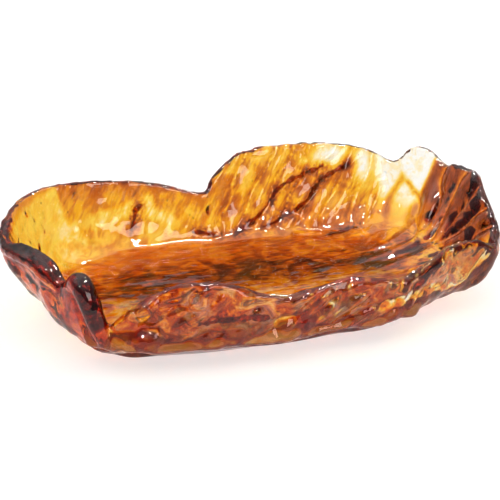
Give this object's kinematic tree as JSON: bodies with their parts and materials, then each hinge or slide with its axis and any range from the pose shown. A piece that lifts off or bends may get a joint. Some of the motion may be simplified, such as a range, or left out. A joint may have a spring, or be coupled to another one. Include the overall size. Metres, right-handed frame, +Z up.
{
  "type": "art glass bowl",
  "caption": "Long shallow free-form bowl of thick hot-worked amber and clear glass with a ruffled, fire-polished rim, for display or serving.",
  "frame": {"origin": "on the surface the bowl stands on, under the middle of its outline", "axes": "+Z up, +X along the bowl's long side towards the clear lobe and the rolled front corner, -Y towards the low front wall"},
  "size_m": [0.4774, 0.2578, 0.1106],
  "materials": {
    "clear_glass": "fire polished",
    "amber_glass": "fire polished, transparent amber",
    "brown_glass": "transparent dark brown",
    "clear_rubber": "clear, soft, slightly matte"
  },
  "bodies": {
    "root": {"clear_casing": "clear_glass", "amber_lining": "amber_glass", "dark_thread_1": "brown_glass", "dark_thread_2": "brown_glass", "dark_thread_3": "brown_glass", "dark_thread_4": "brown_glass", "dark_thread_5": "brown_glass", "dark_thread_6": "brown_glass", "foot_pad_1": "clear_rubber", "foot_pad_2": "clear_rubber", "foot_pad_3": "clear_rubber", "foot_pad_4": "clear_rubber"}
  },
  "joints": []
}
